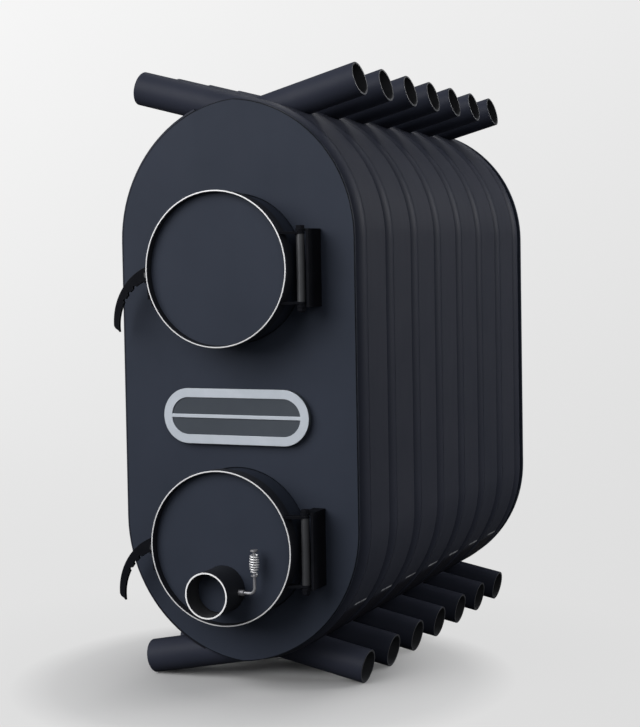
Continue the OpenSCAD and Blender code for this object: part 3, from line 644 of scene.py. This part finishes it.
def make_air_rod():
    """Rod with its elbow, the stem and the two washers that hold the grip."""
    bm = bmesh.new()
    first = loop_at(bm, (-STUB_R - ROD_PAST, SHAFT_Y, STUB_Z), ROD_R, (1, 0, 0), 28)
    last = run_on(bm, first, (STUB_R + ROD_PAST + STEM_X - ELBOW_R, 0, 0))
    last = turn_on(bm, last, (STEM_X - ELBOW_R, SHAFT_Y, STUB_Z + ELBOW_R), (0, -1, 0), 90, 12)
    last = run_on(bm, last, (0, 0, STEM_UP - ELBOW_R))
    last = run_on(bm, last, (0, 0, GRIP_TOP + 2))
    bmesh.ops.contextual_create(bm, geom=first)
    bmesh.ops.contextual_create(bm, geom=last)
    bmesh.ops.recalc_face_normals(bm, faces=bm.faces)
    washers = ((CURL_LOW + WIRE_R + 0.4, 1.0, 3.0), (CURL_HIGH + WIRE_R, GRIP_TOP, GRIP_TOP + 2.5))
    for radius, low, high in washers:
        place = Matrix.Translation((STEM_X, SHAFT_Y, STUB_Z + STEM_UP + (low + high) / 2))
        bmesh.ops.create_cone(bm, cap_ends=True, cap_tris=False, segments=36, radius1=radius,
                              radius2=radius, depth=high - low, matrix=place)
    round_edges(bm, 0.4, 60.0)
    piece("air_rod_wire", bm, [ROD_STEEL], "air_rod")


def make_grip():
    """Coil grip: wire wound round the stem, wider in the middle than at its ends."""
    bm = bmesh.new()
    centre = Vector((STEM_X, SHAFT_Y, STUB_Z + STEM_UP))
    start = centre + Vector((CURL_LOW, 0, GRIP_FOOT))
    first = loop_at(bm, start, WIRE_R, (0, 0, 1), WIRE_SIDES)
    up = run_on(bm, first, (0, 0, 2 * WIRE_R))
    lead = turn_on(bm, up, start + Vector((0, -WIRE_BEND, 2 * WIRE_R)), (1, 0, 0), LEAD_TURN, 6)
    verts = list({vert for edge in lead for vert in edge.verts})
    curls = bmesh.ops.spin(bm, geom=lead + verts, cent=centre, axis=(0, 0, -1),
                           dvec=(0, 0, GRIP_RISE / CURL_STEPS), angle=radians(360 * GRIP_CURLS),
                           steps=CURL_STEPS * GRIP_CURLS, use_merge=False, use_duplicate=False)["geom_last"]
    last = [item for item in curls if is_edge(item)]
    foot_z = centre.z + CURL_START
    for vert in bm.verts:
        flat = Vector((vert.co.x - centre.x, vert.co.y - centre.y, 0))
        t = min(max((vert.co.z - foot_z) / (GRIP_RISE * GRIP_CURLS), 0), 1)
        wider = (CURL_MID - CURL_LOW) * sin(radians(180 * t))
        if t > 0.5:
            wider = CURL_HIGH - CURL_LOW + (CURL_MID - CURL_HIGH) * sin(radians(180 * t))
        vert.co += flat.normalized() * wider
    bmesh.ops.contextual_create(bm, geom=first)
    bmesh.ops.contextual_create(bm, geom=last)
    piece("grip_wire", bm, [WIRE_STEEL], "coil_grip", smooth=60.0)


make_air_rod()
make_grip()

# Body

softened("front_sheet", "front_panel", 1.8, [BODY_PAINT], edge=PANEL_EDGE_SHADE)
softened("rear_sheet", "rear_panel", 0.8, [BODY_PAINT])
softened("right_strip_set", "right_strips", 0.4, [RIGHT_STRIP_PAINT])
softened("left_strip_set", "left_strips", 0.4, [LEFT_STRIP_PAINT])
softened("badge_tray", "badge_pan", 0.8, [PAN_PAINT])
softened("badge_band", "badge_band_plate", 0.5, [BAND_STEEL])
softened("grate_castings", "grate", 1.2, [CAST_IRON])
softened("ledger_angles", "grate_ledgers", 0.4, [SOOTY_STEEL])
softened("baffle_sheet", "baffle", 0.5, [SOOTY_STEEL])
softened("injector_pipes", "air_injectors", 0.4, [SOOTY_STEEL])
softened("flue_pipe", "flue_outlet", 0.5, [BODY_PAINT])
softened("flue_flap", "flue_disc", 0.5, [SOOTY_STEEL])
softened("flue_handle", "flue_rod", 0.5, [ROD_STEEL])

# Studio, in metres

FLOOR_HALF = 9.0
FLOOR_FRONT = -7.0
SWEEP_START = 2.5
SWEEP_R = 2.5
WALL_RISE = 6.0
# Painted light: the backdrop's glow level, lighter towards the left and the top by this slope.
WALL_LEVEL = 0.748
WALL_SLOPE = (-0.022, 0.0, 0.036)
FLOOR_SHADE = 0.52
NEAR_FLOOR = (0.0, -0.38, 0.0)
DARK_FLOOR = 0.10

CAMERA_AT = (1.2005, -2.79575, 0.7068)
CAMERA_YAW = 0.4218
CAMERA_PITCH = -0.0437
CAMERA_ROLL = -0.017
LENS = 78.87
LENS_RISE = -0.046


def backdrop():
    """Pale floor that sweeps up into the wall behind the stove."""
    bm = bmesh.new()
    start = bm.verts.new((-FLOOR_HALF, FLOOR_FRONT, 0))
    end = bm.verts.new((FLOOR_HALF, FLOOR_FRONT, 0))
    edge = bm.edges.new((start, end))
    last = run_on(bm, [edge], (0, SWEEP_START - FLOOR_FRONT, 0))
    last = turn_on(bm, last, (0, SWEEP_START, SWEEP_R), (1, 0, 0), 90, 32)
    run_on(bm, last, (0, 0, WALL_RISE))
    bmesh.ops.recalc_face_normals(bm, faces=bm.faces)
    mesh = bpy.data.meshes.new("backdrop")
    bm.to_mesh(mesh)
    bm.free()
    mesh.shade_smooth()
    mesh.materials.append(backdrop_paint())
    obj = bpy.data.objects.new("backdrop", mesh)
    bpy.context.scene.collection.objects.link(obj)


def backdrop_paint():
    """Matt near the stove, where its shadow falls, and further out a glow of painted light, lighter towards
    the left and the top, over the stove's shadow.

    Only the camera sees it pale. To the stove it is dark and throws no light back.
    """
    mat = bpy.data.materials.new("backdrop")
    mat.use_nodes = True
    tree = mat.node_tree
    tree.nodes.clear()
    out = tree.nodes.new("ShaderNodeOutputMaterial")
    seen = tree.nodes.new("ShaderNodeLightPath").outputs["Is Camera Ray"]
    place = add(tree, "ShaderNodeTexCoord").outputs["Object"]
    away = add(tree, "ShaderNodeVectorMath", {"operation": "SUBTRACT", 1: NEAR_FLOOR}, i0=place)
    away = add(tree, "ShaderNodeVectorMath", {"operation": "LENGTH"}, i0=away.outputs[0])
    far = ramp(tree, away.outputs["Value"], [(0.16, 0.0), (0.35, 0.48), (0.43, 0.93), (0.8, 1.0)])
    slope = add(tree, "ShaderNodeVectorMath", {"operation": "DOT_PRODUCT", 1: WALL_SLOPE}, i0=place)
    level = add(tree, "ShaderNodeMath", {"operation": "ADD", 1: WALL_LEVEL}, i0=slope.outputs["Value"])
    pale = blend_colours(tree, seen, (DARK_FLOOR, DARK_FLOOR, DARK_FLOOR),
                         (FLOOR_SHADE, FLOOR_SHADE, FLOOR_SHADE * 1.005))
    matt = add(tree, "ShaderNodeBsdfDiffuse", Color=pale)
    glow = add(tree, "ShaderNodeEmission", Color=level.outputs[0])
    share = add(tree, "ShaderNodeMath", {"operation": "MULTIPLY"}, i0=seen, i1=far.outputs[0])
    mix = add(tree, "ShaderNodeMixShader", i0=share.outputs[0], i1=matt.outputs[0], i2=glow.outputs[0])
    tree.links.new(mix.outputs[0], out.inputs[0])
    return mat


def soft_light(name, place, target, size, power, spread=180.0):
    """Square light panel that faces a target."""
    data = bpy.data.lights.new(name, "AREA")
    data.shape = "RECTANGLE"
    data.size = size
    data.size_y = size
    data.energy = power
    data.spread = radians(spread)
    obj = bpy.data.objects.new(name, data)
    obj.location = place
    obj.rotation_euler = (Vector(target) - Vector(place)).to_track_quat("-Z", "Y").to_euler()
    bpy.context.scene.collection.objects.link(obj)


def world_light(level):
    """Soft light from all round, seen by the camera as the backdrop's own pale grey."""
    world = bpy.data.worlds.new("studio")
    world.use_nodes = True
    tree = world.node_tree
    tree.nodes.clear()
    soft = add(tree, "ShaderNodeBackground", {"Color": (0.95, 0.97, 1.0, 1), "Strength": level})
    pale = add(tree, "ShaderNodeBackground", {"Color": (1.0, 1.0, 1.0, 1), "Strength": WALL_LEVEL})
    seen = add(tree, "ShaderNodeLightPath").outputs["Is Camera Ray"]
    mix = add(tree, "ShaderNodeMixShader", i0=seen, i1=soft.outputs[0], i2=pale.outputs[0])
    out = add(tree, "ShaderNodeOutputWorld")
    tree.links.new(mix.outputs[0], out.inputs[0])
    bpy.context.scene.world = world


def camera():
    """Camera at the photograph's place, in front on the right and a little above the middle."""
    ahead = Vector((-sin(CAMERA_YAW) * cos(CAMERA_PITCH), cos(CAMERA_YAW) * cos(CAMERA_PITCH),
                    sin(CAMERA_PITCH)))
    right = Vector((cos(CAMERA_YAW), sin(CAMERA_YAW), 0))
    up = right.cross(ahead)
    rolled_right = right * cos(CAMERA_ROLL) + up * sin(CAMERA_ROLL)
    rolled_up = up * cos(CAMERA_ROLL) - right * sin(CAMERA_ROLL)
    data = bpy.data.cameras.new("camera")
    data.lens = LENS
    data.sensor_width = 36
    data.shift_y = LENS_RISE
    data.clip_end = 60
    obj = bpy.data.objects.new("camera", data)
    turn = Matrix((rolled_right, rolled_up, -ahead)).transposed().to_4x4()
    obj.matrix_world = Matrix.Translation(CAMERA_AT) @ turn
    bpy.context.scene.collection.objects.link(obj)
    bpy.context.scene.camera = obj


backdrop()
world_light(0.26)
soft_light("key", (-2.1, -4.2, 2.9), (0, -0.1, 0.5), size=4.0, power=275)
soft_light("fill", (2.6, -3.6, 2.0), (0.1, 0, 0.5), size=1.8, power=24)
soft_light("side", (3.4, 2.2, 1.9), (0.2, 0.2, 0.85), size=1.6, power=12, spread=60.0)
soft_light("top", (0.3, 1.6, 3.6), (0, 0, 0.6), size=2.2, power=45)
camera()
bpy.context.scene.view_settings.view_transform = "Standard"

bpy.context.view_layer.update()
